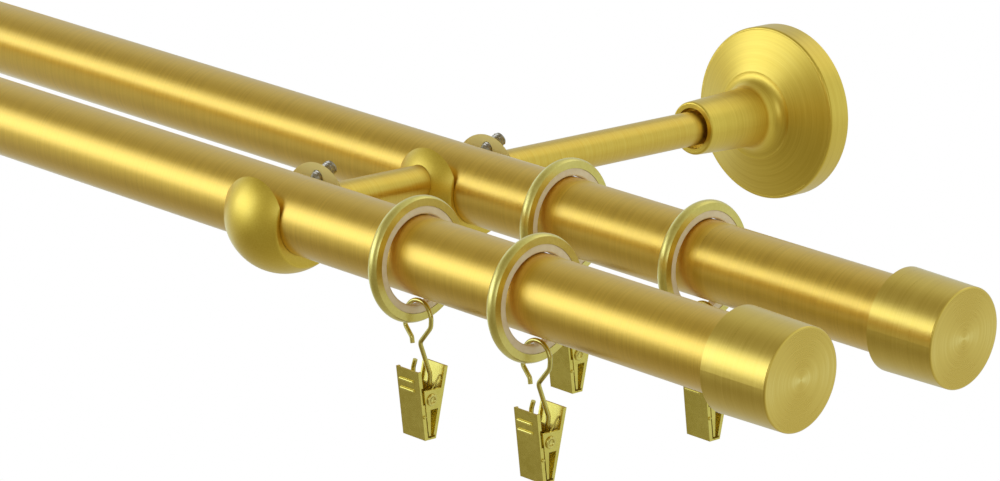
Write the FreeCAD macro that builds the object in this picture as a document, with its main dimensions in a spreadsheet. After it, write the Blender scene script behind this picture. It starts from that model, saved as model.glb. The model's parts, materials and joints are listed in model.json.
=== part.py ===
import FreeCAD, Part
import math
import os

import Sketcher

from FreeCAD import Placement, Rotation, Vector

# Double curtain pole: two tubes on two wall brackets, with end caps, lined rings, wire hooks
# and spring clips. X runs along the poles, +Y points into the wall, +Z is up. The origin is the
# centre of the right rose on the wall face. Lengths are millimetres, angles are degrees.

doc = FreeCAD.newDocument("double_curtain_pole")
sheet = doc.addObject("Spreadsheet::Sheet", "Sizes")

SIZES = {
    # poles
    "pole_diameter": 20.0,
    "pole_wall": 1.2,
    "rear_pole_out": 133.0,
    "pole_spacing": 62.6,
    "front_pole_lift": 1.8,
    "bracket_span": 320.0,
    "pole_overhang": 171.6,
    "rear_setback": 1.8,
    # end caps
    "cap_back_diameter": 26.4,
    "cap_end_diameter": 25.7,
    "cap_length": 19.4,
    "cap_end_wall": 2.4,
    "cap_edge_round": 0.45,
    "cap_clearance": 0.05,
    # wall rose with its sleeve
    "rose_diameter": 49.2,
    "rose_rim_depth": 7.2,
    "rose_cone_depth": 4.4,
    "rose_cone_diameter": 25.0,
    "rose_wall": 3.6,
    "rose_bevel": 0.5,
    "cavity_depth": 4.4,
    "web_face": 8.0,
    "sleeve_reach": 38.3,
    "sleeve_mouth_diameter": 15.0,
    "sleeve_root_diameter": 16.8,
    "sleeve_root_out": 16.2,
    "sleeve_lip_diameter": 11.6,
    "sleeve_lip_depth": 3.0,
    # wall disc, nut and locking screw inside the rose
    "disc_thickness": 3.0,
    "disc_clearance": 0.4,
    "disc_bore": 14.0,
    "wall_hole_spacing": 26.0,
    "wall_hole_diameter": 4.5,
    "nut_flats": 10.0,
    "nut_thickness": 3.2,
    "lock_screw_diameter": 2.4,
    "lock_screw_out": 1.7,
    "lock_screw_recess": 0.3,
    # arm rods
    "arm_diameter": 9.6,
    "stud_diameter": 6.0,
    "wall_stud_length": 6.4,
    "back_seat_out": 14.2,
    "front_seat_out": 12.4,
    "back_stud_length": 2.8,
    "front_stud_length": 1.8,
    "thread_clearance": 0.05,
    "front_arm_lift": 0.95,
    # ball holders
    "ball_diameter": 31.4,
    "ball_drop": 1.1,
    "ball_back": 1.2,
    "holder_width": 19.6,
    "saddle_clearance": 0.05,
    "saddle_back": 12.0,
    "holder_edge_round": 0.8,
    "clamp_angle": 27.0,
    "clamp_screw_diameter": 4.0,
    "clamp_screw_length": 9.2,
    "clamp_gap": 0.05,
    # rings and liners
    "ring_outer_diameter": 32.2,
    "ring_inner_diameter": 27.2,
    "ring_width": 3.0,
    "ring_crown": 0.6,
    "liner_inner_diameter": 23.0,
    "liner_width": 2.7,
    "liner_round": 0.5,
    "ring_lean": 3.5,
    "liner_rib": 0.4,
    "liner_rib_width": 1.2,
    "liner_clearance": 0.05,
    "ring_rest_gap": 0.05,
    # hooks
    "wire_diameter": 1.2,
    "hook_radius": 4.45,
    "hook_shift": 1.7,
    "hook_clearance": 0.06,
    "hook_drop": 19.2,
    "loop_shift": 2.15,
    "loop_half_run": 1.25,
    "loop_half_gap": 1.75,
    "pin_gap": 0.05,
    # clips
    "clip_shift": 2.3,
    "clip_width": 7.8,
    "clip_sheet": 0.5,
    "clip_top": 8.0,
    "clip_bottom": 10.5,
    "clip_front_top": 5.4,
    "clip_front_bottom": 1.5,
    "clip_back_top": 5.1,
    "clip_back_bottom": 2.3,
    "flange_depth": 1.1,
    "ear_clearance": 0.1,
    "ear_top": 2.6,
    "ear_bottom": 2.6,
    "rib_length": 4.4,
    "rib_radius": 0.4,
    "pin_diameter": 1.6,
    "pin_clearance": 0.05,
    "pin_head_diameter": 2.9,
    "pin_head_thickness": 0.35,
    "spring_wire": 0.5,
    "spring_radius": 1.15,
    "spring_shift": 2.3,
    "spring_top": 5.5,
    # places of the rings along their poles
    "front_ring_1_place": 48.8,
    "front_ring_2_place": 89.5,
    "rear_ring_1_place": 40.6,
    "rear_ring_2_place": 88.4,
}

for row, (alias, value) in enumerate(SIZES.items(), start=1):
    sheet.set("A%d" % row, alias)
    sheet.set("B%d" % row, repr(value))
    sheet.setAlias("B%d" % row, alias)
doc.recompute()

FULL_TURN = 360
QUARTER = 90
ORIGIN = (0, 0, 0)
X_AXIS = Vector(1, 0, 0)
Y_AXIS = Vector(0, 1, 0)
Z_AXIS = Vector(0, 0, 1)
PLAIN = Rotation()
ALONG_X = Rotation(Y_AXIS, QUARTER)
ALONG_Y = Rotation(X_AXIS, -QUARTER)
OUT_OF_WALL = Rotation(Z_AXIS, -QUARTER)
TURNED_BACK = Rotation(Z_AXIS, 2 * QUARTER)

SUB_PARTS = []


def rule(words):
    """Turn the size names in an expression into references to the sheet."""
    out = ""
    word = ""
    for letter in words + " ":
        if letter.isalnum() or letter == "_":
            word += letter
            continue
        out += "Sizes." + word if word in SIZES else word
        out += letter
        word = ""
    return out.strip()


def worth(words):
    """The number that an expression of sizes gives now."""
    return float(sheet.evalExpression(rule(words)))


def keep(feature, label, base=ORIGIN, rotation=PLAIN):
    """Give a finished sub-part its own label and placement, and list it for export."""
    feature.Label = label
    feature.Placement = Placement(Vector(*base), rotation)
    SUB_PARTS.append(feature)
    return feature


def solid(kind, name, base=ORIGIN, rotation=PLAIN, **rules):
    """A primitive whose sizes follow the sheet, at a fixed place in its sub-part."""
    feature = doc.addObject(kind, name)
    for prop, words in rules.items():
        feature.setExpression(prop, rule(words))
    feature.Placement = Placement(Vector(*base), rotation)
    return feature


def cut(name, base, *tools):
    """The base with every tool taken out of it."""
    tool = tools[0]
    if len(tools) > 1:
        tool = doc.addObject("Part::MultiFuse", name + "_tools")
        tool.Shapes = list(tools)
    feature = doc.addObject("Part::Cut", name + "_cut")
    feature.Base = base
    feature.Tool = tool
    return feature


def plain(name, shape):
    """A sub-part whose shape is worked out here from the sheet's sizes."""
    feature = doc.addObject("Part::Feature", name)
    feature.Shape = shape
    return feature


def origin_plane(body, role):
    """One of a body's own origin planes."""
    return next(f for f in body.Origin.OriginFeatures if f.Role == role)


def outline(body, corners):
    """A closed sketch outline in the body's XY plane, with every corner tied to the sheet.

    A corner is two rules, along the axis and out from it. Two more rules make the side that
    follows it an arc through that point."""
    sketch = body.newObject("Sketcher::SketchObject", body.Name + "_outline")
    sketch.AttachmentSupport = [(origin_plane(body, "XY_Plane"), "")]
    sketch.MapMode = "FlatFace"
    points = [Vector(worth(c[0]), worth(c[1]), 0) for c in corners]
    ends = []
    for i, corner in enumerate(corners):
        start, end = points[i], points[(i + 1) % len(points)]
        side = Part.LineSegment(start, end)
        ends.append((1, 2))
        if len(corner) > 2:
            middle = Vector(worth(corner[2]), worth(corner[3]), 0)
            side = Part.Arc(start, middle, end)
            if (middle - start).cross(end - middle).z < 0:
                side = Part.Arc(end, middle, start)
                ends[-1] = (2, 1)
        sketch.addGeometry(side, False)
    for i, corner in enumerate(corners):
        after = (i + 1) % len(corners)
        sketch.addConstraint(Sketcher.Constraint("Coincident", i, ends[i][1], after, ends[after][0]))
        for kind, words, value in (("DistanceX", corner[0], points[i].x),
                                   ("DistanceY", corner[1], points[i].y)):
            held = Sketcher.Constraint(kind, -1, 1, i, ends[i][0], value)
            number = sketch.addConstraint(held)
            sketch.setExpression("Constraints[%d]" % number, rule(words))
    return sketch


def turned(name, corners):
    """A piece turned about its own X axis from an outline."""
    body = doc.addObject("PartDesign::Body", name)
    sketch = outline(body, corners)
    spin = body.newObject("PartDesign::Revolution", name + "_spin")
    spin.Profile = sketch
    spin.ReferenceAxis = (sketch, ["H_Axis"])
    spin.Angle = FULL_TURN
    body.Tip = spin
    doc.recompute()
    return body


def rounded_route(points, radii):
    """Straight runs through the points, joined at each inner point by a tangent arc."""
    edges = []
    spot = points[0]
    for before, corner, after, radius in zip(points, points[1:], points[2:], radii):
        back = (before - corner).normalize()
        ahead = (after - corner).normalize()
        half = back.getAngle(ahead) / 2
        reach = radius / math.tan(half)
        enter = corner + back * reach
        leave = corner + ahead * reach
        inward = (back + ahead).normalize()
        middle = corner + inward * (radius / math.sin(half) - radius)
        if spot.distanceToPoint(enter) > ROUTE_TOLERANCE:
            edges.append(Part.LineSegment(spot, enter).toShape())
        edges.append(Part.Arc(enter, middle, leave).toShape())
        spot = leave
    edges.append(Part.LineSegment(spot, points[-1]).toShape())
    return Part.Wire(edges)


def wire_form(route, radius):
    """A round wire bent along a route."""
    start = route.OrderedVertexes[0].Point
    heading = route.OrderedEdges[0].tangentAt(route.OrderedEdges[0].FirstParameter)
    section = Part.Wire(Part.Circle(start, heading, radius).toShape())
    return route.makePipeShell([section], True, True)


def slab(corners, low, high):
    """A flat piece with an outline in the YZ plane, between two places along X."""
    points = [Vector(low, y, z) for y, z in corners]
    face = Part.Face(Part.makePolygon(points + points[:1]))
    return face.extrude(Vector(high - low, 0, 0))


ROUTE_TOLERANCE = 1e-6
NEAR = 0.01

# Places that several sub-parts share
POLE_R = worth("pole_diameter / 2")
REAR_Y = worth("-rear_pole_out")
FRONT_Y = worth("-rear_pole_out - pole_spacing")
FRONT_Z = worth("front_pole_lift")
FRONT_ARM_Z = worth("front_arm_lift")
SPAN = worth("bracket_span")
BRACKETS = {"right": 0.0, "left": -SPAN}
POLES = {
    "front": {"y": FRONT_Y, "z": FRONT_Z, "end": worth("pole_overhang")},
    "rear": {"y": REAR_Y, "z": 0.0, "end": worth("pole_overhang - rear_setback")},
}


def pole(name, place):
    """A straight tube, padded from two circles along X between the two ends."""
    body = doc.addObject("PartDesign::Body", name + "_pole")
    sketch = body.newObject("Sketcher::SketchObject", name + "_pole_section")
    sketch.AttachmentSupport = [(origin_plane(body, "YZ_Plane"), "")]
    sketch.MapMode = "FlatFace"
    for words in ("pole_diameter / 2", "pole_diameter / 2 - pole_wall"):
        circle = sketch.addGeometry(Part.Circle(Vector(), Z_AXIS, worth(words)), False)
        sketch.addConstraint(Sketcher.Constraint("Coincident", circle, 3, -1, 1))
        held = sketch.addConstraint(Sketcher.Constraint("Radius", circle, worth(words)))
        sketch.setExpression("Constraints[%d]" % held, rule(words))
    pad = body.newObject("PartDesign::Pad", name + "_pole_length")
    pad.Profile = sketch
    setback = " - 2 * rear_setback" if name == "rear" else ""
    pad.setExpression("Length", rule("bracket_span + 2 * pole_overhang" + setback))
    body.Tip = pad
    return keep(body, name + "_pole", (-SPAN - place["end"], place["y"], place["z"]))


def end_cap(name, place, side):
    """A turned cap with a slight taper that pushes over the tube's end."""
    cap = turned(name, [
        ("0", "0"),
        ("0", "cap_end_diameter / 2 - cap_edge_round",
         "cap_edge_round * 0.293", "cap_end_diameter / 2 - cap_edge_round * 0.293"),
        ("cap_edge_round", "cap_end_diameter / 2"),
        ("cap_length", "cap_back_diameter / 2"),
        ("cap_length", "pole_diameter / 2 + cap_clearance"),
        ("cap_end_wall", "pole_diameter / 2 + cap_clearance"),
        ("cap_end_wall", "0"),
    ])
    out = place["end"] + worth("cap_end_wall")
    if side == "right":
        return keep(cap, name, (out, place["y"], place["z"]), TURNED_BACK)
    return keep(cap, name, (-SPAN - out, place["y"], place["z"]))


def rose(side, x):
    """The turned wall rose: a shallow cone with a thick rim that flares into the arm's sleeve.

    It is hollow behind, round the wall disc, and a web at the bottom of the sleeve holds the
    arm's threaded end. A small hole in the rim takes the locking screw."""
    body = turned("rose_turned_" + side, [
        ("0", "rose_diameter / 2 - rose_wall"),
        ("0", "rose_diameter / 2"),
        ("rose_rim_depth - rose_bevel", "rose_diameter / 2",
         "rose_rim_depth - rose_bevel * 0.2", "rose_diameter / 2 - rose_bevel * 0.4"),
        ("rose_rim_depth + rose_bevel * 0.2", "rose_diameter / 2 - rose_bevel * 1.6"),
        ("rose_rim_depth + rose_cone_depth", "rose_cone_diameter / 2",
         "rose_rim_depth + rose_cone_depth + 1.3",
         "sleeve_root_diameter / 2 + (rose_cone_diameter - sleeve_root_diameter) * 0.14"),
        ("sleeve_root_out", "sleeve_root_diameter / 2"),
        ("sleeve_reach - 0.5", "sleeve_mouth_diameter / 2",
         "sleeve_reach - 0.15", "sleeve_mouth_diameter / 2 - 0.2"),
        ("sleeve_reach", "sleeve_mouth_diameter / 2 - 0.6"),
        ("sleeve_reach", "sleeve_lip_diameter / 2"),
        ("sleeve_reach - sleeve_lip_depth", "sleeve_lip_diameter / 2"),
        ("sleeve_reach - sleeve_lip_depth", "arm_diameter / 2 + thread_clearance"),
        ("web_face", "arm_diameter / 2 + thread_clearance"),
        ("web_face", "stud_diameter / 2 + thread_clearance"),
        ("cavity_depth", "stud_diameter / 2 + thread_clearance"),
        ("cavity_depth", "rose_diameter / 2 - rose_wall"),
    ])
    hole = solid("Part::Cylinder", "lock_hole_" + side,
                 (worth("lock_screw_out"), 0, -worth("rose_diameter")),
                 Radius="lock_screw_diameter / 2 + thread_clearance",
                 Height="rose_diameter")
    keep(cut("rose_" + side, body, hole), "rose_" + side, (x, 0, 0), OUT_OF_WALL)


def wall_disc(side, x):
    """The steel disc screwed to the wall inside the rose, with two countersunk-free holes."""
    body = turned("disc_turned_" + side, [
        ("0", "disc_bore / 2"),
        ("disc_thickness", "disc_bore / 2"),
        ("disc_thickness", "rose_diameter / 2 - rose_wall - disc_clearance"),
        ("0", "rose_diameter / 2 - rose_wall - disc_clearance"),
    ])
    holes = [solid("Part::Cylinder", "wall_hole_%s_%d" % (side, hand + 1),
                   (-worth("disc_thickness"), hand * worth("wall_hole_spacing / 2"), 0), ALONG_X,
                   Radius="wall_hole_diameter / 2", Height="3 * disc_thickness")
             for hand in (-1, 1)]
    keep(cut("disc_" + side, body, *holes), "wall_disc_" + side, (x, 0, 0), OUT_OF_WALL)


def arm_nut(side, x):
    """The hexagon nut on the arm's threaded end, inside the rose."""
    nut = solid("Part::Prism", "nut_blank_" + side,
                Circumradius="nut_flats / 2 / cos(30)", Height="nut_thickness")
    nut.Polygon = 6
    hole = solid("Part::Cylinder", "nut_hole_" + side,
                 Radius="stud_diameter / 2 + thread_clearance", Height="nut_thickness")
    back = worth("cavity_depth - nut_thickness")
    keep(cut("nut_" + side, nut, hole), "arm_nut_" + side, (x, -back, 0), Rotation(X_AXIS, QUARTER))


def lock_screw(side, x):
    """The headless screw in the rim that holds the rose on its disc."""
    low = -worth("rose_diameter / 2 - lock_screw_recess")
    screw = solid("Part::Cylinder", "lock_screw_" + side, Radius="lock_screw_diameter / 2",
                  Height="rose_wall + disc_clearance - lock_screw_recess - thread_clearance")
    keep(screw, "lock_screw_" + side, (x, -worth("lock_screw_out"), low))


def arm(name, x, z, start, run, first_stud, last_stud):
    """A round rod with a threaded stud at each end, along the wall's normal."""
    rod = turned(name, [
        ("-" + first_stud, "0"),
        ("-" + first_stud, "stud_diameter / 2"),
        ("0", "stud_diameter / 2"),
        ("0", "arm_diameter / 2"),
        (run, "arm_diameter / 2"),
        (run, "stud_diameter / 2"),
        (run + " + " + last_stud, "stud_diameter / 2"),
        (run + " + " + last_stud, "0"),
    ])
    keep(rod, name, (x, -worth(start), z), OUT_OF_WALL)


def holder(name, x, y, z, back_port, front_port=None):
    """A turned ball, milled flat on both sides, with a saddle open at the top for the pole.

    The pole lies against the tongue in front. A slanting threaded hole behind takes the clamp
    screw, and a socket behind, or one on each side, takes the arm rods."""
    reach = worth("ball_diameter")
    half = worth("holder_width / 2")
    ball = solid("Part::Sphere", name + "_ball",
                 (0, worth("ball_back"), -worth("ball_drop")), Radius="ball_diameter / 2")
    sides = solid("Part::Box", name + "_sides", (-half, -reach, -reach),
                  Length="holder_width", Width="2 * ball_diameter", Height="2 * ball_diameter")
    blank = doc.addObject("Part::Common", name + "_blank")
    blank.Base = ball
    blank.Tool = sides
    seat = solid("Part::Cylinder", name + "_seat", (-reach, 0, 0), ALONG_X,
                 Radius="pole_diameter / 2 + saddle_clearance", Height="2 * ball_diameter")
    front = worth("pole_diameter / 2 + saddle_clearance")
    mouth = solid("Part::Box", name + "_mouth", (-reach, -front, 0),
                  Length="2 * ball_diameter", Height="ball_diameter",
                  Width="pole_diameter / 2 + saddle_clearance + saddle_back")
    slant = math.radians(worth("clamp_angle"))
    screw_hole = solid("Part::Cylinder", name + "_screw_hole",
                       (0, POLE_R / 2 * math.cos(slant), POLE_R / 2 * math.sin(slant)),
                       Rotation(X_AXIS, worth("clamp_angle") - QUARTER),
                       Radius="clamp_screw_diameter / 2 + thread_clearance",
                       Height="ball_diameter")
    tools = [seat, mouth, screw_hole]
    ports = [("back", back_port, 1, "back_seat_out")]
    if front_port is not None:
        ports.append(("front", front_port, -1, "front_seat_out"))
    for side, height, hand, seat_out in ports:
        facing = Rotation(X_AXIS, -hand * QUARTER)
        tools.append(solid("Part::Cylinder", "%s_%s_socket" % (name, side),
                           (0, hand * worth(seat_out), height), facing,
                           Radius="arm_diameter / 2 + thread_clearance", Height="ball_diameter"))
        tools.append(solid("Part::Cylinder", "%s_%s_thread" % (name, side),
                           (0, 0, height), facing,
                           Radius="stud_diameter / 2 + thread_clearance", Height=seat_out))
    milled = cut(name, blank, *tools)
    doc.recompute()
    round_r = worth("holder_edge_round")
    rims = [(number, round_r, round_r) for number, edge in enumerate(milled.Shape.Edges, start=1)
            if is_outer_rim(edge, half)]
    softened = doc.addObject("Part::Fillet", name + "_softened")
    softened.Base = milled
    softened.Edges = rims
    keep(softened, name, (x, y, z))


def is_outer_rim(edge, half):
    """Whether an edge is part of the ball's circle on one of its two flat sides."""
    flat_r = math.sqrt(worth("ball_diameter / 2") ** 2 - half ** 2)
    spots = [edge.valueAt(edge.FirstParameter + part * (edge.LastParameter - edge.FirstParameter))
             for part in (0, 0.5, 1)]
    return all(abs(abs(p.x) - half) < NEAR and abs(math.hypot(
        p.y - worth("ball_back"), p.z + worth("ball_drop")) - flat_r) < NEAR for p in spots)


def clamp_screw(name, x, y, z):
    """A headless hexagon-socket screw, slanting down from behind onto the pole."""
    rod = solid("Part::Cylinder", name + "_rod", Radius="clamp_screw_diameter / 2",
                Height="clamp_screw_length")
    socket = solid("Part::Prism", name + "_socket", (0, 0, worth("clamp_screw_length * 0.7")),
                   Circumradius="clamp_screw_diameter * 0.29", Height="clamp_screw_length")
    socket.Polygon = 6
    slant = math.radians(worth("clamp_angle"))
    tip = POLE_R + worth("clamp_gap")
    keep(cut(name, rod, socket), name,
         (x, y + tip * math.cos(slant), z + tip * math.sin(slant)),
         Rotation(X_AXIS, worth("clamp_angle") - QUARTER))


for pole_name, pole_place in POLES.items():
    pole(pole_name, pole_place)
    for end_side in BRACKETS:
        end_cap("%s_cap_%s" % (pole_name, end_side), pole_place, end_side)

for bracket, bracket_x in BRACKETS.items():
    rose(bracket, bracket_x)
    wall_disc(bracket, bracket_x)
    arm_nut(bracket, bracket_x)
    lock_screw(bracket, bracket_x)
    arm("rear_arm_" + bracket, bracket_x, 0, "web_face",
        "rear_pole_out - back_seat_out - web_face", "wall_stud_length", "back_stud_length")
    arm("front_arm_" + bracket, bracket_x, FRONT_ARM_Z, "rear_pole_out + front_seat_out",
        "pole_spacing - front_seat_out - back_seat_out", "front_stud_length", "back_stud_length")
    holder("rear_holder_" + bracket, bracket_x, REAR_Y, 0, 0, FRONT_ARM_Z)
    holder("front_holder_" + bracket, bracket_x, FRONT_Y, FRONT_Z, FRONT_ARM_Z - FRONT_Z)
    clamp_screw("rear_clamp_screw_" + bracket, bracket_x, REAR_Y, 0)
    clamp_screw("front_clamp_screw_" + bracket, bracket_x, FRONT_Y, FRONT_Z)


# A ring hangs with its top a little to the left, drawn over by the hook
LEAN = math.radians(worth("ring_lean"))
LEANING = Rotation(Y_AXIS, -worth("ring_lean"))


def ring(name, place):
    """A metal ring with a crowned outside and a groove inside for its liner."""
    keep(turned(name, [
        ("-ring_width / 2", "ring_inner_diameter / 2"),
        ("-liner_rib_width / 2", "ring_inner_diameter / 2"),
        ("-liner_rib_width / 2", "ring_inner_diameter / 2 + liner_rib"),
        ("liner_rib_width / 2", "ring_inner_diameter / 2 + liner_rib"),
        ("liner_rib_width / 2", "ring_inner_diameter / 2"),
        ("ring_width / 2", "ring_inner_diameter / 2"),
        ("ring_width / 2", "ring_outer_diameter / 2 - ring_crown",
         "0", "ring_outer_diameter / 2"),
        ("-ring_width / 2", "ring_outer_diameter / 2 - ring_crown"),
    ]), name, place, LEANING)


def liner(name, place):
    """The plastic liner that snaps into the ring's groove and slides on the pole."""
    keep(turned(name, [
        ("-liner_width / 2", "liner_inner_diameter / 2 + liner_round",
         "liner_round * 0.293 - liner_width / 2",
         "liner_inner_diameter / 2 + liner_round * 0.293"),
        ("liner_round - liner_width / 2", "liner_inner_diameter / 2"),
        ("liner_width / 2 - liner_round", "liner_inner_diameter / 2",
         "liner_width / 2 - liner_round * 0.293",
         "liner_inner_diameter / 2 + liner_round * 0.293"),
        ("liner_width / 2", "liner_inner_diameter / 2 + liner_round"),
        ("liner_width / 2", "ring_inner_diameter / 2 - liner_clearance"),
        ("liner_rib_width / 2 - liner_clearance", "ring_inner_diameter / 2 - liner_clearance"),
        ("liner_rib_width / 2 - liner_clearance",
         "ring_inner_diameter / 2 + liner_rib - liner_clearance"),
        ("liner_clearance - liner_rib_width / 2",
         "ring_inner_diameter / 2 + liner_rib - liner_clearance"),
        ("liner_clearance - liner_rib_width / 2", "ring_inner_diameter / 2 - liner_clearance"),
        ("-liner_width / 2", "ring_inner_diameter / 2 - liner_clearance"),
    ]), name, place, LEANING)


# The hook's wire seen in its own frame: the origin is the centre of the upper bend
HOOK_R = worth("hook_radius")
WIRE_R = worth("wire_diameter / 2")
LOOP_X = worth("loop_shift")
LOOP_DX = worth("loop_half_run")
LOOP_DY = worth("loop_half_gap")
LOOP_R = math.hypot(LOOP_DX, LOOP_DY)
LOOP_Z = -worth("hook_drop")
HOOK_POINTS = [
    (-1.55, 0, -7.0),
    (-1.9, 0, -5.5),
    (-HOOK_R, 0, -2.9),
    (-HOOK_R, 0, HOOK_R),
    (HOOK_R, 0, HOOK_R),
    (HOOK_R, 0, -1.6),
    (1.0, 0, -6.3),
    (LOOP_X + LOOP_DX, LOOP_DY, LOOP_Z + 5.0),
    (LOOP_X + LOOP_DX, LOOP_DY, LOOP_Z - LOOP_R),
    (LOOP_X - LOOP_DX, -LOOP_DY, LOOP_Z - LOOP_R),
    (LOOP_X - LOOP_DX, -LOOP_DY, LOOP_Z + 7.0),
    (LOOP_X - LOOP_DX + 0.6, -LOOP_DY - 0.1, LOOP_Z + 9.0),
]
HOOK_BENDS = [1.0, 1.5, HOOK_R, HOOK_R, 2.2, 1.7, 2.5, LOOP_R, LOOP_R, 1.5]


def hook(name, place):
    """The bent wire hook: over the ring's rim, an S bend, and a loop under the clip's pin."""
    route = rounded_route([Vector(*p) for p in HOOK_POINTS], HOOK_BENDS)
    keep(plain(name, wire_form(route, WIRE_R)), name, place)


# The clip seen in its own frame: the origin is the centre of its pin
HALF_WIDTH = worth("clip_width / 2")
SHEET = worth("clip_sheet")
TOP = worth("clip_top")
BOTTOM = -worth("clip_bottom")
PIN_R = worth("pin_diameter / 2")
PIN_HOLE_R = PIN_R + worth("pin_clearance")
EAR_R = 1.7
INNER_EAR = HALF_WIDTH - SHEET - worth("ear_clearance")


def jaw_plate(top, bottom, inward):
    """The flat of a jaw from its thumb end to its mouth, with a lip turned in at the mouth."""
    plate = slab([(top, TOP), (bottom, BOTTOM), (bottom + inward * SHEET, BOTTOM),
                  (top + inward * SHEET, TOP)], -HALF_WIDTH, HALF_WIDTH)
    lip_end = MOUTH_Y - inward * MOUTH_GAP / 2
    low, high = sorted((bottom, lip_end))
    lip = Part.makeBox(2 * HALF_WIDTH, high - low, SHEET, Vector(-HALF_WIDTH, low, BOTTOM))
    return plate.fuse(lip)


def jaw_face(top, bottom, z):
    """Where the outside of a jaw's plate is at a height."""
    return top + (bottom - top) * (TOP - z) / (TOP - BOTTOM)


def ribs(top, bottom):
    """Two pressed grip ribs across the thumb end, with round ends."""
    length = worth("rib_length")
    radius = worth("rib_radius")
    bars = []
    for z in RIB_HEIGHTS:
        start = Vector(RIB_SHIFT - length / 2, jaw_face(top, bottom, z), z)
        bars.append(Part.makeCylinder(radius, length, start, X_AXIS))
        bars += [Part.makeSphere(radius, start + X_AXIS * along) for along in (0, length)]
    return bars


def flange(top, bottom, inward, low, high, side):
    """A narrow strip along one edge of a jaw, turned in towards the other jaw."""
    depth = inward * worth("flange_depth")
    corners = [(jaw_face(top, bottom, z) + step, z)
               for z, step in ((high, 0), (low, 0), (low, depth), (high, depth))]
    inner, outer = sorted((side * (HALF_WIDTH - SHEET), side * HALF_WIDTH))
    return slab(corners, inner, outer)


MOUTH_Y = 0.4
MOUTH_GAP = 0.1
RIB_HEIGHTS = (4.9, 2.4)
RIB_SHIFT = -0.6
FLANGE_LOW_TOP = -1.0
FLANGE_HIGH_BOTTOM = 3.6
EAR_ARM = 1.5
EAR_LEG_GAP = 0.35
LUG_R = 0.5
LUG_Z = -4.2


def front_jaw(name, place):
    """The front jaw: plate, side flanges, and two ears inside that turn on the pin."""
    top, bottom = -worth("clip_front_top"), -worth("clip_front_bottom")
    pieces = ribs(top, bottom)
    for side in (-1, 1):
        pieces.append(flange(top, bottom, 1, BOTTOM, FLANGE_LOW_TOP, side))
        pieces.append(flange(top, bottom, 1, FLANGE_HIGH_BOTTOM, TOP, side))
        inner, outer = sorted((side * (INNER_EAR - SHEET), side * INNER_EAR))
        pieces.append(slab([(jaw_face(top, bottom, EAR_R), EAR_R), (0, EAR_R), (0, -EAR_R),
                            (jaw_face(top, bottom, -EAR_R), -EAR_R)], inner, outer))
        pieces.append(Part.makeCylinder(EAR_R, SHEET, Vector(inner, 0, 0), X_AXIS))
    lug_y = jaw_face(top, bottom, LUG_Z) + worth("flange_depth") - LUG_R
    pieces.append(Part.makeSphere(LUG_R, Vector(HALF_WIDTH, lug_y, LUG_Z)))
    hole = Part.makeCylinder(PIN_HOLE_R, 2 * HALF_WIDTH, Vector(-HALF_WIDTH, 0, 0), X_AXIS)
    shape = jaw_plate(top, bottom, 1).fuse(pieces).cut(hole).removeSplitter()
    keep(plain(name, shape), name, place)


def back_jaw(name, place):
    """The back jaw: plate and two outer ears, each an A-shaped plate round a slanting gap."""
    top, bottom = worth("clip_back_top"), worth("clip_back_bottom")
    front_top, front_bottom = -worth("clip_front_top"), -worth("clip_front_bottom")
    ear_top, ear_bottom = worth("ear_top"), -worth("ear_bottom")
    clear = worth("flange_depth") + EAR_LEG_GAP
    foot = BOTTOM + 2 * SHEET
    depth = worth("flange_depth")
    pieces = ribs(top, bottom)
    for side in (-1, 1):
        inner, outer = sorted((side * (HALF_WIDTH - SHEET), side * HALF_WIDTH))
        ear = slab([(jaw_face(top, bottom, ear_top), ear_top),
                    (jaw_face(front_top, front_bottom, ear_top) + clear, ear_top),
                    (jaw_face(front_top, front_bottom, foot) + clear, foot),
                    (jaw_face(top, bottom, foot), foot)], inner, outer)
        gap = slab([(jaw_face(front_top, front_bottom, ear_bottom) + clear + EAR_ARM, ear_bottom),
                    (jaw_face(front_top, front_bottom, foot) + clear + EAR_ARM / 2, foot - SHEET),
                    (jaw_face(top, bottom, foot) - depth, foot - SHEET),
                    (jaw_face(top, bottom, ear_bottom) - depth, ear_bottom)], inner, outer)
        pieces.append(ear.cut(gap))
        pieces.append(flange(top, bottom, -1, ear_top - SHEET, TOP, side))
    hole = Part.makeCylinder(PIN_HOLE_R, 2 * HALF_WIDTH, Vector(-HALF_WIDTH, 0, 0), X_AXIS)
    shape = jaw_plate(top, bottom, -1).fuse(pieces).cut(hole).removeSplitter()
    keep(plain(name, shape), name, place)


def clip_pin(name, place):
    """The rivet through the ears, with a low head at each end."""
    head = "pin_head_diameter / 2"
    out = "clip_width / 2 + 0.05"
    far = "clip_width / 2 + 0.05 + pin_head_thickness"
    keep(turned(name, [
        ("-(%s)" % far, "0"), ("-(%s)" % far, head), ("-(%s)" % out, head),
        ("-(%s)" % out, "pin_diameter / 2"), (out, "pin_diameter / 2"), (out, head),
        (far, head), (far, "0"),
    ]), name, place)


def clip_spring(name, place):
    """The bent spring wire that passes under the pin and presses the thumb ends apart."""
    radius = worth("spring_radius")
    wire = worth("spring_wire / 2")
    high = worth("spring_top")
    x = worth("spring_shift")
    touch = SHEET + wire + worth("pin_gap")
    front = jaw_face(-worth("clip_front_top"), -worth("clip_front_bottom"), high) + touch
    back = jaw_face(worth("clip_back_top"), worth("clip_back_bottom"), high) - touch
    points = [(x, front, high), (x, -radius, radius), (x, -radius, -radius),
              (x, radius, -radius), (x, radius, radius), (x, back, high)]
    route = rounded_route([Vector(*p) for p in points], [wire * 3, radius, radius, wire * 3])
    keep(plain(name, wire_form(route, wire)), name, place)


RINGS = {
    "front_1": ("front", "front_ring_1_place"),
    "front_2": ("front", "front_ring_2_place"),
    "rear_1": ("rear", "rear_ring_1_place"),
    "rear_2": ("rear", "rear_ring_2_place"),
}

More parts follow.
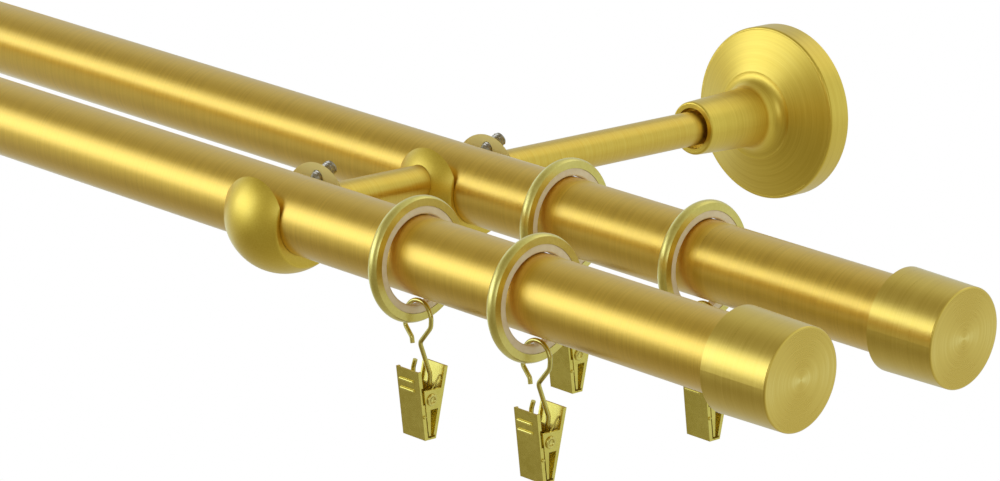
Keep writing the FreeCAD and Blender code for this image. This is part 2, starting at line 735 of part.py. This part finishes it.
for ring_name, (carrier, along) in RINGS.items():
    ring_x = worth(along)
    ring_y = POLES[carrier]["y"]
    hang = (worth("(liner_inner_diameter - pole_diameter) / 2 - ring_rest_gap")
            - worth("liner_width / 2") * math.tan(LEAN))
    ring_z = POLES[carrier]["z"] - hang
    ring("ring_" + ring_name, (ring_x, ring_y, ring_z))
    liner("liner_" + ring_name, (ring_x, ring_y, ring_z))
    bend_x = worth("liner_round - liner_width / 2")
    bend_r = worth("liner_inner_diameter / 2 + liner_round")
    corner_x = bend_x * math.cos(LEAN) + bend_r * math.sin(LEAN) - worth("hook_shift")
    corner_z = bend_x * math.sin(LEAN) - bend_r * math.cos(LEAN)
    reach = HOOK_R - WIRE_R - worth("hook_clearance + liner_round")
    hook_x = ring_x + worth("hook_shift")
    hook_z = ring_z + corner_z - math.sqrt(reach ** 2 - corner_x ** 2)
    hook("hook_" + ring_name, (hook_x, ring_y, hook_z))
    pin_z = hook_z + LOOP_Z - LOOP_R + WIRE_R + PIN_R + worth("pin_gap")
    clip_place = (hook_x + worth("clip_shift"), ring_y, pin_z)
    front_jaw("clip_front_jaw_" + ring_name, clip_place)
    back_jaw("clip_back_jaw_" + ring_name, clip_place)
    clip_pin("clip_pin_" + ring_name, clip_place)
    clip_spring("clip_spring_" + ring_name, clip_place)

doc.recompute()

for feature in doc.Objects:
    if "Invalid" in feature.State or "Error" in feature.State:
        raise RuntimeError("%s did not build: %s" % (feature.Label, feature.State))
for feature in SUB_PARTS:
    if feature.Shape.isNull() or not feature.Shape.isValid():
        raise RuntimeError("%s has no valid shape" % feature.Label)

os.makedirs("parts", exist_ok=True)
for feature in SUB_PARTS:
    feature.Shape.exportStep("parts/%s.step" % feature.Label)
    box = feature.Shape.BoundBox
    print("%-26s solids %d  volume %9.2f  x %8.2f %8.2f  y %8.2f %8.2f  z %7.2f %7.2f" % (
        feature.Label, len(feature.Shape.Solids), feature.Shape.Volume,
        box.XMin, box.XMax, box.YMin, box.YMax, box.ZMin, box.ZMax))
print(len(SUB_PARTS), "sub-parts")
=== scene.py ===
# %% [markdown]
# # A double curtain pole in brushed brass
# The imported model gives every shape. This lesson dresses it: it gives each piece a procedural
# finish, adds the threads and the rivets' rims, and then sets the floor, the light and the
# camera of the photograph.

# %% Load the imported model
import json
import math

import bpy
import numpy as np
from mathutils import Matrix, Vector


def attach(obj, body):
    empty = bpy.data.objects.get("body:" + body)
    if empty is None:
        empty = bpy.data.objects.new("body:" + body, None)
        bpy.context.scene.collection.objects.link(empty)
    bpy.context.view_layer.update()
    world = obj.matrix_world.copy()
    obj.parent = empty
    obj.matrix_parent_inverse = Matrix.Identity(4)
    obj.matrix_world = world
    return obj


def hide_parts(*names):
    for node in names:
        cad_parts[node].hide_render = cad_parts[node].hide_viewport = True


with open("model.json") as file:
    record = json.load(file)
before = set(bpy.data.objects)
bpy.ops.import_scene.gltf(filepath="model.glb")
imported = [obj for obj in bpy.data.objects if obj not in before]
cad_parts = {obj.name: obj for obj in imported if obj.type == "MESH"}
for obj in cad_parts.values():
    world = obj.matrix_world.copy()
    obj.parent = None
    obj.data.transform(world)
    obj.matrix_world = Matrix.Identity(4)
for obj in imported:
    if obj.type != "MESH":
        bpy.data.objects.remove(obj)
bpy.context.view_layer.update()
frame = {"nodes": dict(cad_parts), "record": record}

nodes = frame["nodes"]

# %% [markdown]
# ## Shader arithmetic
# A `Field` is an output socket of a shader node tree. Its operators add maths nodes, so a
# pattern reads like the formula that it stands for.


# %% A field of numbers over a surface
class Field:
    """An output socket, with arithmetic that adds maths nodes to its tree."""

    def __init__(self, tree, socket):
        self.tree = tree
        self.socket = socket

    def put(self, value, target):
        """Joins a field to an input socket, or sets the socket to a plain value."""
        if isinstance(value, Field):
            self.tree.links.new(value.socket, target)
        else:
            target.default_value = value

    def math(self, operation, *values):
        """A maths node of this field and the values."""
        node = self.tree.nodes.new("ShaderNodeMath")
        node.operation = operation
        for value, target in zip((self, *values), node.inputs):
            self.put(value, target)
        return Field(self.tree, node.outputs[0])

    def node(self, kind, **inputs):
        """The first output of any other node, with its inputs by name."""
        node = self.tree.nodes.new(kind)
        for name, value in inputs.items():
            self.put(value, node.inputs[name.replace("_", " ")])
        return Field(self.tree, node.outputs[0])

    def __add__(self, other):
        return self.math("ADD", other)

    def __sub__(self, other):
        return self.math("SUBTRACT", other)

    def __mul__(self, other):
        return self.math("MULTIPLY", other)

    def __truediv__(self, other):
        return self.math("DIVIDE", other)

    def __pow__(self, other):
        return self.math("POWER", other)

    def noise(self, detail, scale=1.0):
        """Fractal noise, 0 to 1, at this vector field's places."""
        return self.node("ShaderNodeTexNoise", Vector=self, Scale=scale, Detail=detail)


def join(x, y, z):
    """A vector field from three fields."""
    node = x.tree.nodes.new("ShaderNodeCombineXYZ")
    for value, target in zip((x, y, z), node.inputs):
        x.put(value, target)
    return Field(x.tree, node.outputs[0])


def parts_of(tree, vector):
    """The X, Y and Z fields of a vector socket."""
    split = tree.nodes.new("ShaderNodeSeparateXYZ")
    tree.links.new(vector, split.inputs[0])
    return [Field(tree, out) for out in split.outputs]


print("fields ready")

# %% [markdown]
# ## A finish
# A `Finish` is a material with one Principled shader. Its patterns live in the object's own
# coordinates, in metres, so they stay on the piece when it moves.


# %% A finish with its own node tree
class Finish:
    """A material with one Principled shader, and the object's own coordinates as fields."""

    def __init__(self, name, **constants):
        self.material = bpy.data.materials.new(name)
        self.material.use_nodes = True
        self.tree = self.material.node_tree
        self.shader = self.tree.nodes["Principled BSDF"]
        for key, value in constants.items():
            self.shader.inputs[key.replace("_", " ")].default_value = value
        place = self.tree.nodes.new("ShaderNodeTexCoord")
        self.place = Field(self.tree, place.outputs["Object"])
        self.x, self.y, self.z = parts_of(self.tree, self.place.socket)

    def drive(self, **fields):
        """Joins fields to the shader's inputs and gives the finished material."""
        for key, field in fields.items():
            self.tree.links.new(field.socket, self.shader.inputs[key.replace("_", " ")])
        return self.material

    def ramp(self, field, *stops):
        """Colours along a field: each stop is a place and a colour."""
        node = self.tree.nodes.new("ShaderNodeValToRGB")
        ramp = node.color_ramp
        while len(ramp.elements) < len(stops):
            ramp.elements.new(0.5)
        for element, (spot, colour) in zip(ramp.elements, stops):
            element.position = spot
            element.color = (*colour, 1.0)
        self.tree.links.new(field.socket, node.inputs[0])
        return Field(self.tree, node.outputs[0])

    def bump(self, field, strength, distance):
        """A normal from a height field."""
        return field.node("ShaderNodeBump", Height=field, Strength=strength, Distance=distance)


print("finishes ready")

# %% [markdown]
# ## Where the axes run
# Turned pieces need their own axis: the poles and caps have one along X, and the roses and
# arms one along Y. Two helpers measure a place from the axis that belongs to it.

# %% Axes
FRONT_AXIS = (-0.1956, 0.0018)
REAR_AXIS = (-0.133, 0.0)
BETWEEN_POLES = -0.165
BRACKET_X = {"right": 0.0, "left": -0.320}


def from_pole(finish):
    """How far a place lies behind and above the axis of its own pole."""
    is_rear = finish.y.math("GREATER_THAN", BETWEEN_POLES)
    return (finish.y - is_rear * (REAR_AXIS[0] - FRONT_AXIS[0]) - FRONT_AXIS[0],
            finish.z - is_rear * (REAR_AXIS[1] - FRONT_AXIS[1]) - FRONT_AXIS[1])


def from_post(finish):
    """How far a place lies to the right of and above the axis of its own bracket."""
    is_left = finish.x.math("LESS_THAN", BRACKET_X["left"] / 2)
    return finish.x - is_left * BRACKET_X["left"], finish.z


print("poles", FRONT_AXIS, REAR_AXIS)

# %% [markdown]
# ## Turned brass
# A lathe and a brush leave hairlines round the axis. Noise that is stretched along the lines
# gives them, a fine one and a wide one, and drives colour, shine and a shallow relief. On the
# cap ends a painted highlight and painted shade lie in the colour: a fan, paler to the left and
# right of the middle and darker above and below, with a pale spot in the middle. They do not
# move with the light.

# %% Turned brass
LINES_A_METRE = 3000.0
FINE_LINES, WIDE_LINES = 2.4, 0.5
FINE_RUN, WIDE_RUN = 70.0, 25.0
FINE_SHARE, WIDE_SHARE = 0.55, 0.45
LINE_DEPTH = 0.00004
LACQUER_ROUGH = 0.32
LACQUER_IOR = 1.8
DEEP_AT, GOLD_AT = 0.32, 0.68
# The painted highlight and shade on the cap ends: where the end face is, and how strong.
END_R = 0.01235
PAINTED_SPOT_R = 0.004
PAINTED_SPOT_SHARE = 0.30
PAINTED_SPOKE_SHARE = 0.24


def turned(name, run, gold, deep, rough, spread, coat, lines=LINES_A_METRE, bite=0.10, fan=None):
    """Brass turned on a lathe: hairlines round an axis, each with its own shine.

    The lines change fast along the axis and along the radius, and slowly round the turn, so a
    tube shows bands and an end face shows circles. run is the axis of the turn. fan is the
    colour of a painted highlight on an end face: tone += cos(2 * angle) * share, paler left and
    right and darker above and below, and a painted pale spot at the middle."""
    finish = Finish(name, Metallic=1.0, Coat_Weight=coat, Coat_Roughness=LACQUER_ROUGH,
                    Coat_IOR=LACQUER_IOR)
    x, y, z = finish.x, finish.y, finish.z
    across, up = from_pole(finish) if run == "x" else from_post(finish)
    radius = (across * across + up * up) ** 0.5
    fast, slow_a, slow_b = (x + radius, y, z) if run == "x" else (y + radius, x, z)
    fine = join(fast * lines * FINE_LINES, slow_a * FINE_RUN, slow_b * FINE_RUN).noise(2.0)
    wide = join(fast * lines * WIDE_LINES, slow_a * WIDE_RUN, slow_b * WIDE_RUN).noise(3.0)
    tone = fine * FINE_SHARE + wide * WIDE_SHARE
    # Painted highlight and painted shade on the cap ends: paler left and right, darker above and
    # below, and a pale spot in the middle.
    if fan:
        is_end = radius.math("LESS_THAN", END_R)
        painted_spokes = (across * across - up * up) / (radius * radius) * PAINTED_SPOKE_SHARE
        spot = (radius * (-1.0 / PAINTED_SPOT_R) + 1.0).math("MAXIMUM", 0.0) * PAINTED_SPOT_SHARE
        tone = tone + is_end * (painted_spokes + spot)
    return finish.drive(
        Base_Color=finish.ramp(tone, (DEEP_AT, deep), (GOLD_AT, gold), (1.0, fan or gold)),
        Roughness=(tone - 0.5) * spread + rough,
        Normal=finish.bump(fine, bite, LINE_DEPTH))


print("turned brass ready")

# %% [markdown]
# ## Satin brass
# Holders, rings and clips have an even grain instead. The holder's wall behind the pole is
# milled flat: there the metal is rougher and partly scatters the light, and its colour is
# painted paler, painted light that makes the wall look lit.

# %% Satin brass
GRAINS_A_METRE = 2600.0
CLOUDS_A_METRE = 90.0
GRAIN_DEPTH = 0.00002
SHINE_SPREAD = 0.16
# The milled wall: where it lies, its roughness, less metal, and a colour painted paler as painted
# light.
SADDLE_BACK = 0.012
FLAT_HALF = 0.0002
FLAT_ROUGH = 0.80
FLAT_SCATTER = 0.6
SATIN_DEEP_AT, SATIN_GOLD_AT = 0.30, 0.70
FLAT_SQUEEZE = 0.7


def satin(name, gold, deep, rough, coat=0.5, grain=GRAINS_A_METRE, bite=0.05, flat=None):
    """Brass with an even, very fine grain. flat is the paler colour painted on a holder's milled
    wall, as painted light.
    """
    finish = Finish(name, Metallic=1.0, Coat_Weight=coat, Coat_Roughness=0.3, Coat_IOR=1.6)
    grains = finish.place.noise(3.0, grain)
    tone = grains * 0.5 + finish.place.noise(2.0, CLOUDS_A_METRE) * 0.5
    shine = (tone - 0.5) * SHINE_SPREAD
    normal = finish.bump(grains, bite, GRAIN_DEPTH)
    if not flat:
        return finish.drive(
            Base_Color=finish.ramp(tone, (SATIN_DEEP_AT, deep), (SATIN_GOLD_AT, gold)),
            Roughness=shine + rough, Normal=normal)
    behind, _ = from_pole(finish)
    is_flat = (behind - SADDLE_BACK).math("ABSOLUTE").math("LESS_THAN", FLAT_HALF)
    # On the milled wall: real roughness and less metal, plus a paler colour that is painted light.
    return finish.drive(
        Base_Color=finish.ramp(tone * FLAT_SQUEEZE + is_flat,
                               (SATIN_DEEP_AT * FLAT_SQUEEZE, deep),
                               (SATIN_GOLD_AT * FLAT_SQUEEZE, gold), (1.0, flat)),
        Roughness=shine + is_flat * (FLAT_ROUGH - rough) + rough,
        Metallic=is_flat * -FLAT_SCATTER + 1.0, Normal=normal)


print("satin brass ready")

# %% [markdown]
# ## Steel and plastic
# Both have a faint mottle, which varies colour, shine and height together.


# %% Steel and plastic
def mottled(name, colour, dark, rough, metal, scale, spread, bite, depth):
    """A smooth material with a faint mottle of two colours."""
    finish = Finish(name, Metallic=metal)
    cloud = finish.place.noise(3.0, scale)
    return finish.drive(Base_Color=finish.ramp(cloud, (0.3, dark), (0.7, colour)),
                        Roughness=(cloud - 0.5) * spread + rough,
                        Normal=finish.bump(cloud, bite, depth))


def moulded(name, colour, dark, rough):
    """A moulded plastic."""
    return mottled(name, colour, dark, rough, metal=0.0, scale=500.0, spread=0.10,
                   bite=0.05, depth=0.0001)


def plated(name, colour, dark, rough):
    """A plated metal."""
    return mottled(name, colour, dark, rough, metal=1.0, scale=1500.0, spread=0.12,
                   bite=0.08, depth=0.00003)


print("steel and plastic ready")

# %% [markdown]
# ## A finish for each slot
# The poles are the reddest brass and the rings the palest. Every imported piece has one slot.

# %% Colours
POLE_GOLD, POLE_DEEP = (0.84, 0.525, 0.035), (0.70, 0.415, 0.015)
CAP_GOLD, CAP_DEEP = (0.82, 0.570, 0.070), (0.72, 0.475, 0.035)
RING_GOLD, RING_DEEP = (0.86, 0.71, 0.19), (0.72, 0.57, 0.11)
HOOK_GOLD, HOOK_DEEP = (0.76, 0.62, 0.15), (0.58, 0.46, 0.09)
JAW_GOLD, JAW_DEEP = (0.86, 0.70, 0.14), (0.70, 0.55, 0.07)
SCREW_PALE, SCREW_DARK = (0.52, 0.44, 0.31), (0.25, 0.21, 0.15)
DISC_PALE, DISC_DARK = (0.60, 0.61, 0.62), (0.48, 0.49, 0.50)
LINER_PALE, LINER_DARK = (1.0, 0.81, 0.52), (0.92, 0.72, 0.44)
ROSE_GOLD = (0.86, 0.615, 0.075)
# The colour of the painted highlight on the cap ends.
PAINTED_FAN_GOLD = (0.97, 0.76, 0.20)
# The paler colour of the holder's milled wall, painted light.
FLAT_PAINTED_LIGHT_GOLD = (1.0, 0.86, 0.34)
print("colours ready")

# %% Slots
SLOTS = {
    "pole_brass": turned("pole_brass_turned", "x", POLE_GOLD, POLE_DEEP, rough=0.37,
                         spread=0.45, coat=0.65, bite=0.20),
    "cap_brass": turned("cap_brass_turned", "x", CAP_GOLD, CAP_DEEP, rough=0.33,
                        spread=0.30, coat=0.6, bite=0.16, fan=PAINTED_FAN_GOLD),
    "rose_brass": turned("rose_brass_turned", "y", ROSE_GOLD, CAP_DEEP, rough=0.38,
                         spread=0.16, coat=0.35, lines=2200.0),
    "arm_brass": turned("arm_brass_turned", "y", CAP_GOLD, POLE_DEEP, rough=0.36,
                        spread=0.15, coat=0.4),
    "holder_brass": satin("holder_brass_milled_painted_light", ROSE_GOLD, CAP_DEEP, rough=0.42,
                          coat=0.4, flat=FLAT_PAINTED_LIGHT_GOLD),
    "ring_brass": satin("ring_brass_satin", RING_GOLD, RING_DEEP, rough=0.34,
                        grain=1400.0, bite=0.12),
    "hook_brass": satin("hook_brass_plated", HOOK_GOLD, HOOK_DEEP, rough=0.22),
    "jaw_brass": satin("jaw_brass_plated", JAW_GOLD, JAW_DEEP, rough=0.27,
                       grain=700.0, bite=0.02),
    "liner_plastic": moulded("liner_plastic_moulded", LINER_PALE, LINER_DARK, rough=0.42),
    "screw_steel": plated("screw_steel_bright", SCREW_PALE, SCREW_DARK, rough=0.28),
    "disc_steel": plated("disc_steel_zinc", DISC_PALE, DISC_DARK, rough=0.40),
    "pin_steel": satin("pin_brass_plated", RING_GOLD, JAW_DEEP, rough=0.26),
}

dressed = 0
for part in frame["record"]["subparts"]:
    for slot in nodes[part["node"]].material_slots:
        slot.material = SLOTS[part["material_slot"]]
        dressed += 1
print(dressed, "slots dressed")

# %% [markdown]
# ## Surfaces from rings of points
# The pieces made here are grids: rings of points up an axis, joined by quads and closed by a
# fan at each end.

# %% Rings to a mesh
AROUND = 36
ANGLES = np.arange(AROUND) * 2 * math.pi / AROUND


def level_ring(height, radius):
    """One ring at a single height."""
    return np.full(AROUND, height), ANGLES, np.broadcast_to(radius, AROUND)


def ring_mesh(name, rings):
    """A closed surface through rings of points: x, y = radius * (cos, sin)(angle), z = height,
    with a fan over its first and last ring."""
    points = np.concatenate([np.stack([r * np.cos(a), r * np.sin(a), h], axis=-1)
                             for h, a, r in rings])
    count = len(rings)
    row, col = np.meshgrid(np.arange(count - 1), np.arange(AROUND), indexing="ij")
    here, there = row * AROUND + col, row * AROUND + (col + 1) % AROUND
    quads = np.stack([here, there, there + AROUND, here + AROUND], axis=-1).reshape(-1, 4)
    ends = [(0, 0, rings[0][0].mean()), (0, 0, rings[-1][0].mean())]
    low, high, last = len(points), len(points) + 1, (count - 1) * AROUND
    around = range(AROUND)
    fans = [((a + 1) % AROUND, a, low) for a in around]
    fans += [(last + a, last + (a + 1) % AROUND, high) for a in around]
    mesh = bpy.data.meshes.new(name)
    mesh.from_pydata(np.vstack([points, ends]).tolist(), [], quads.tolist() + fans)
    return mesh


def piece_of(mesh, slot):
    """A mesh as an object of the scene, with the finish of a slot."""
    piece = bpy.data.objects.new(mesh.name, mesh)
    bpy.context.scene.collection.objects.link(piece)
    mesh.materials.append(SLOTS[slot])
    return piece


print(AROUND, "points a ring")

# %% [markdown]
# ## Threaded clamp screws
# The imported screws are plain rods. Here each gets its thread and its hexagon socket: a grid
# of angles and heights whose radius follows a saw wave that climbs one pitch a turn.

# %% Clamp screws
SCREW_R = 0.002
SCREW_LENGTH = 0.0092
PITCH = 0.0007
THREAD_DEPTH = 0.00030
TIP_R = 0.0005
TIP_LENGTH = 0.0036
SOCKET_DEPTH = 0.0028
SOCKET_FLAT = 0.00101
POLE_R = 0.010
SCREW_GAP = 0.00005
SCREW_SLANT = math.radians(27.0)
STEPS_A_PITCH = 8


def thread_rings():
    """Rings of points up a screw: radius = R - depth * |2 * frac(z / pitch - angle / turn) - 1|,
    with the thread running out over half a pitch at both ends, and a cone for a tip."""
    rows = int(SCREW_LENGTH / PITCH * STEPS_A_PITCH)
    height, angle = np.meshgrid(np.linspace(0.0, SCREW_LENGTH, rows), ANGLES, indexing="ij")
    phase = height / PITCH - angle / (2 * math.pi)
    saw = np.abs(2.0 * (phase - np.floor(phase)) - 1.0)
    runout = np.minimum(height, SCREW_LENGTH - height) / (PITCH / 2)
    radius = SCREW_R - THREAD_DEPTH * np.where(runout < 1.0, 1.0, saw)
    radius = np.minimum(radius, TIP_R + height * (SCREW_R - TIP_R) / TIP_LENGTH)
    return list(zip(height, angle, radius))


def socket_rings():
    """The hexagon socket: radius = flat / cos(angle within a side), at the rim and the bottom."""
    side = math.pi / 3
    radius = SOCKET_FLAT / np.cos(np.mod(ANGLES, side) - side / 2)
    return [level_ring(SCREW_LENGTH - deep, radius) for deep in (0.0, SOCKET_DEPTH)]


def clamp_screw(pole, side):
    """One threaded screw in its slanting hole, in place of the plain rod."""
    axis = FRONT_AXIS if pole == "front" else REAR_AXIS
    node = "%s_clamp_screw_%s" % (pole, side)
    mesh = ring_mesh(node + "_thread", thread_rings() + socket_rings())
    reach = POLE_R + SCREW_GAP
    foot = Vector((BRACKET_X[side], axis[0] + reach * math.cos(SCREW_SLANT),
                   axis[1] + reach * math.sin(SCREW_SLANT)))
    lean = Matrix.Rotation(SCREW_SLANT - math.pi / 2, 4, "X")
    mesh.transform(Matrix.Translation(foot) @ lean)
    piece = piece_of(mesh, "screw_steel")
    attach(piece, "frame")
    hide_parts(node)
    return len(mesh.polygons)


faces = sum(clamp_screw(pole, side) for pole in ("front", "rear") for side in BRACKET_X)
print("4 screws,", faces, "faces")

# %% [markdown]
# ## Rivets of the clips
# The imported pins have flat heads. A real rivet is hollow: its rim rolls over the ear and
# leaves a dish in the middle.

# %% Rivets
RING_NAMES = ("front_1", "front_2", "rear_1", "rear_2")
EAR_OUT = 0.00393
RIVET_R = 0.0008
RIM_MIDDLE = 0.00122
RIM_HALF = 0.00042
RIM_HEIGHT = 0.00048
DISH_OUT = 0.00012
DISH_TURN = 1.0
RIM_STEPS = 9


def rivet_rings():
    """Half a rivet from the dish outwards: rim radius = middle - half * cos(t), and its
    height over the ear = rim height * sin(t), for t from 0 to pi, not under the dish."""
    half = []
    for t in np.linspace(0.0, math.pi, RIM_STEPS):
        dish = DISH_OUT if t < DISH_TURN else 0.0
        out = EAR_OUT + max(RIM_HEIGHT * math.sin(t), dish)
        half.append((out, RIM_MIDDLE - RIM_HALF * math.cos(t)))
    half.append((EAR_OUT, RIVET_R))
    return [level_ring(-out, r) for out, r in half] + [level_ring(out, r) for out, r in half[::-1]]


def rivet(name):
    """A rolled rivet along X through the ears of one clip, in place of the plain pin."""
    node = "clip_pin_" + name
    packed = nodes[node]
    corners = [packed.matrix_world @ Vector(corner) for corner in packed.bound_box]
    middle = sum(corners, Vector()) / len(corners)
    mesh = ring_mesh(node + "_rolled", rivet_rings())
    mesh.transform(Matrix.Translation(middle) @ Matrix.Rotation(math.pi / 2, 4, "Y"))
    for polygon in mesh.polygons:
        polygon.use_smooth = True
    piece = piece_of(mesh, "pin_steel")
    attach(piece, "clip_" + name)
    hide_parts(node)
    return len(mesh.polygons)


print("4 rivets,", sum(rivet(name) for name in RING_NAMES), "faces")

# %% [markdown]
# ## The floor and the white surroundings
# The camera sees plain white. Brass needs something to mirror, so every other ray sees a grey
# studio, paler behind the object, to its right and far to its left. The brighter the grey is,
# the cooler it is, which turns the highlights lemon and leaves the dark bands golden.

# %% The shades of the studio
RIGHT_EDGE = (-0.2, 0.7)
LEFT_EDGE = (-0.74, -0.97)
LEFT_RISE = 0.30
RED_SHARE = 0.98
GREEN_SHARES = (0.45, 0.80)
BLUE_SHARES = (1.25, 0.30)


def smooth(field, edge, rise, start=0.0):
    """A smooth step of a field across an edge, from a starting value up by a rise."""
    step = field.tree.nodes.new("ShaderNodeMapRange")
    step.interpolation_type = "SMOOTHSTEP"
    for key, value in (("From Min", edge[0]), ("From Max", edge[1]),
                       ("To Min", start), ("To Max", start + rise)):
        step.inputs[key].default_value = value
    field.tree.links.new(field.socket, step.inputs["Value"])
    return Field(field.tree, step.outputs["Result"])


def bent(level, shares):
    """A colour channel that grows faster than the level: a * level^2 + b * level."""
    return level * level * shares[0] + level * shares[1]


def studio(tree, vector, kind, output, front, back_rise, right_rise, back_edge):
    """Wires a studio of greys into a tree, and plain white for the camera alone."""
    tree.nodes.clear()
    out = tree.nodes.new(output)
    place = tree.nodes.new("ShaderNodeTexCoord")
    x, y, _ = parts_of(tree, place.outputs[vector])
    level = (smooth(y, back_edge, back_rise, front) + smooth(x, RIGHT_EDGE, right_rise)
             + smooth(x, LEFT_EDGE, LEFT_RISE))
    glow, white = tree.nodes.new(kind), tree.nodes.new(kind)
    colour = join(level * RED_SHARE, bent(level, GREEN_SHARES), bent(level, BLUE_SHARES))
    tree.links.new(colour.socket, glow.inputs["Color"])
    white.inputs["Color"].default_value = (1.0, 1.0, 1.0, 1.0)
    path = tree.nodes.new("ShaderNodeLightPath")
    mix = tree.nodes.new("ShaderNodeMixShader")
    tree.links.new(path.outputs["Is Camera Ray"], mix.inputs["Fac"])
    tree.links.new(glow.outputs[0], mix.inputs[1])
    tree.links.new(white.outputs[0], mix.inputs[2])
    tree.links.new(mix.outputs[0], out.inputs["Surface"])


print("shades ready")

# %% Floor and world
FLOOR_Z = -0.55
FLOOR_HALF = 6.0
FLOOR_SHADES = {"front": 0.27, "back_rise": 0.31, "right_rise": 0.05, "back_edge": (-0.9, 0.3)}
WORLD_SHADES = {"front": 0.34, "back_rise": 0.27, "right_rise": 0.14, "back_edge": (-0.3, 0.4)}

mesh = bpy.data.meshes.new("floor")
mesh.from_pydata([(x * FLOOR_HALF, y * FLOOR_HALF, FLOOR_Z)
                  for x, y in ((-1, -1), (1, -1), (1, 1), (-1, 1))], [], [(0, 1, 2, 3)])
material = bpy.data.materials.new("floor_white")
material.use_nodes = True
studio(material.node_tree, "Object", "ShaderNodeEmission", "ShaderNodeOutputMaterial",
       **FLOOR_SHADES)
mesh.materials.append(material)
floor = bpy.data.objects.new("floor", mesh)
bpy.context.scene.collection.objects.link(floor)

world = bpy.data.worlds.new("studio")
world.use_nodes = True
studio(world.node_tree, "Generated", "ShaderNodeBackground", "ShaderNodeOutputWorld",
       **WORLD_SHADES)
bpy.context.scene.world = world
print("surroundings set")

# %% [markdown]
# ## Lights
# A long key light far to the left of the camera, with a stronger core, draws the bright band
# along the tubes. A small lamp lifts the end faces, and one above and behind the top edges.

# %% Lights
TARGET = Vector((0.03, -0.15, -0.01))
KEY_COLOUR = (0.84, 1.04, 1.50)
BACK_COLOUR = (0.95, 1.0, 1.0)
LIGHTS = (
    # name, direction, distance, width, height, power, colour
    ("key", (-0.64, -0.71, 0.215), 2.4, 2.0, 1.60, 12.6, KEY_COLOUR),
    ("key_core", (-0.64, -0.71, 0.195), 2.38, 2.0, 0.83, 3.8, KEY_COLOUR),
    ("front", (0.55, -0.78, 0.30), 2.4, 0.9, 0.9, 3.0, KEY_COLOUR),
    ("back", (0.05, 0.72, 0.70), 2.4, 1.8, 1.1, 2.6, BACK_COLOUR),
)

for name, direction, distance, width, height, power, colour in LIGHTS:
    data = bpy.data.lights.new(name, "AREA")
    data.shape = "RECTANGLE"
    data.size = width
    data.size_y = height
    data.energy = power
    data.color = colour
    lamp = bpy.data.objects.new(name, data)
    aim = Vector(direction).normalized()
    lamp.location = TARGET + aim * distance
    lamp.rotation_euler = aim.to_track_quat("Z", "Y").to_euler()
    bpy.context.scene.collection.objects.link(lamp)
print(len(LIGHTS), "lights set")

# %% [markdown]
# ## The camera of the photograph
# It was found by fitting the outlines of the tubes, caps, rings and rose.

# %% Camera
CAMERA_PLACE = Vector((0.81540, -0.98507, 0.32003))
AZIMUTH = math.radians(43.1)
ELEVATION = math.radians(15.908)
ROLL = math.radians(3.47)
SENSOR = 36.0
FOCAL_PIXELS = 4622.003
PHOTO_WIDTH = 1000.0
FAR = 50.0

back = Vector((math.sin(AZIMUTH) * math.cos(ELEVATION),
               -math.cos(AZIMUTH) * math.cos(ELEVATION), math.sin(ELEVATION)))
right = (-back).cross(Vector((0, 0, 1))).normalized()
up = right.cross(-back)
side = right * math.cos(ROLL) + up * math.sin(ROLL)
crown = up * math.cos(ROLL) - right * math.sin(ROLL)
data = bpy.data.cameras.new("photo_camera")
data.sensor_width = SENSOR
data.sensor_fit = "HORIZONTAL"
data.lens = FOCAL_PIXELS * SENSOR / PHOTO_WIDTH
data.clip_end = FAR
camera = bpy.data.objects.new("photo_camera", data)
turn = Matrix((side, crown, back)).transposed()
camera.matrix_world = Matrix.Translation(CAMERA_PLACE) @ turn.to_4x4()
bpy.context.scene.collection.objects.link(camera)
bpy.context.scene.camera = camera
bpy.context.scene.view_settings.view_transform = "Standard"
print("camera set")
